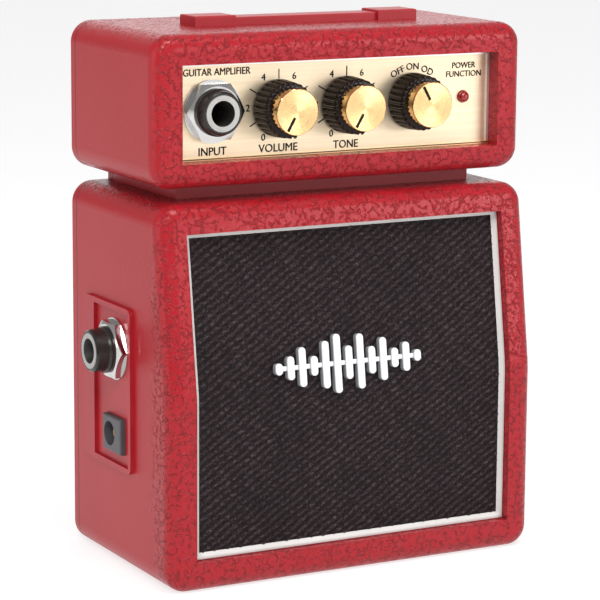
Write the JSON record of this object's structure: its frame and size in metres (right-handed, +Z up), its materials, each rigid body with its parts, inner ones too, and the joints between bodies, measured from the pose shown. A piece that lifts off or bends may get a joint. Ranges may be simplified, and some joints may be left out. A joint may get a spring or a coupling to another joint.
{
  "type": "guitar amplifier",
  "caption": "Pocket-size battery guitar amplifier: a small red head with knobs, input jack and lamp on a slant-front speaker cabinet with a cloth grille, side jacks, battery bay and belt clip.",
  "frame": {"origin": "middle of the cabinet's width and depth, on the surface it stands on", "axes": "+Z up, -Y is the front with the grille and knobs, +X is the right seen from the front"},
  "size_m": [0.1125, 0.0668, 0.14],
  "materials": {
    "red_plastic": "leather-grained moulded plastic",
    "red_smooth": "smooth satin moulded plastic",
    "gold_panel": "brushed gold",
    "bright_metal": "polished nickel plate",
    "steel": "zinc plated",
    "black_plastic": "black moulded plastic",
    "grille_cloth": "woven, black and brown",
    "pale_trim": "off-white, satin",
    "red_lens": "clear red",
    "circuit_board": "green lacquered board",
    "component": "black and coloured parts",
    "wire": "insulated wire",
    "paper": "pressed paper",
    "rubber": "soft rubber",
    "magnet": "grey ferrite",
    "brass": "bare brass",
    "battery_can": "painted steel can"
  },
  "bodies": {
    "case": {"amplifier_chip": "component", "battery": "battery_can", "battery_snap": "black_plastic", "belt_clip_base": "bright_metal", "board_screws": "steel", "cabinet_shell": "red_plastic", "capacitors": "component", "case_screws": "steel", "cone_spider": "paper", "cone_surround": "rubber", "control_panel": "gold_panel", "dc_jack_body": "black_plastic", "dc_jack_pin": "brass", "front_badge": "pale_trim", "function_switch": "steel", "grille_cloth": "grille_cloth", "grille_trim": "pale_trim", "handle_end_caps": "red_smooth", "handle_strap": "red_smooth", "head_shell": "red_plastic", "input_jack_body": "black_plastic", "jack_ferrules": "bright_metal", "jack_nuts": "bright_metal", "jack_washers": "bright_metal", "main_board": "circuit_board", "neck_screws": "steel", "neck_spacer": "red_smooth", "panel_trim": "bright_metal", "phones_jack_body": "black_plastic", "pot_nuts": "steel", "power_led": "red_lens", "rear_shell": "red_plastic", "resistors": "component", "side_jack_plate": "red_smooth", "speaker_baffle": "black_plastic", "speaker_frame": "steel", "speaker_magnet": "magnet", "speaker_screws": "steel", "speaker_terminals": "black_plastic", "speaker_top_plate": "steel", "speaker_yoke": "steel", "tone_pot": "steel", "volume_pot": "steel", "wiring": "wire"},
    "volume_control": {"volume_knob": "black_plastic", "volume_knob_cap": "gold_panel", "volume_shaft": "steel"},
    "tone_control": {"tone_knob": "black_plastic", "tone_knob_cap": "gold_panel", "tone_shaft": "steel"},
    "function_control": {"function_knob": "black_plastic", "function_knob_cap": "gold_panel", "function_shaft": "steel"},
    "battery_lid": {"battery_door": "red_smooth"},
    "clip_tongue": {"belt_clip_lever": "bright_metal"},
    "moving_cone": {"speaker_cone": "paper", "voice_coil": "brass", "dust_cap": "paper"},
    "input_contact": {"input_tip_spring": "brass"},
    "phones_contact": {"phones_tip_spring": "brass"}
  },
  "joints": [
    {"name": "volume_turn", "type": "hinge", "parent": "case", "child": "volume_control", "pos_m": [-0.0166, -0.017, 0.118], "axis": [0, 1, 0], "range_deg": [0, 300]},
    {"name": "tone_turn", "type": "hinge", "parent": "case", "child": "tone_control", "pos_m": [0.00265, -0.017, 0.118], "axis": [0, 1, 0], "range_deg": [0, 300]},
    {"name": "function_turn", "type": "hinge", "parent": "case", "child": "function_control", "pos_m": [0.0219, -0.017, 0.118], "axis": [0, 1, 0], "range_deg": [0, 60]},
    {"name": "battery_lid_hinge", "type": "hinge", "parent": "case", "child": "battery_lid", "pos_m": [0, 0.03, 0.01], "axis": [-1, 0, 0], "range_deg": [0, 70]},
    {"name": "clip_pivot", "type": "hinge", "parent": "case", "child": "clip_tongue", "pos_m": [0, 0.0336, 0.088], "axis": [1, 0, 0], "range_deg": [0, 10], "stiffness_Nm_per_rad": 0.15, "springref_deg": -2.86},
    {"name": "cone_travel", "type": "slide", "parent": "case", "child": "moving_cone", "axis": [0, 1, 0], "range_m": [-0.0008, 0.0008], "stiffness_N_per_m": 1500, "deforming": ["cone_surround", "cone_spider"]},
    {"name": "input_contact_flex", "type": "hinge", "parent": "case", "child": "input_contact", "pos_m": [-0.0347, 0.0039, 0.1222], "axis": [-1, 0, 0], "range_deg": [0, 9], "stiffness_Nm_per_rad": 0.002, "springref_deg": -1.15},
    {"name": "phones_contact_flex", "type": "hinge", "parent": "case", "child": "phones_contact", "pos_m": [-0.0332, 0.0018, 0.0526], "axis": [0, -1, 0], "range_deg": [0, 9], "stiffness_Nm_per_rad": 0.002, "springref_deg": -1.15}
  ]
}
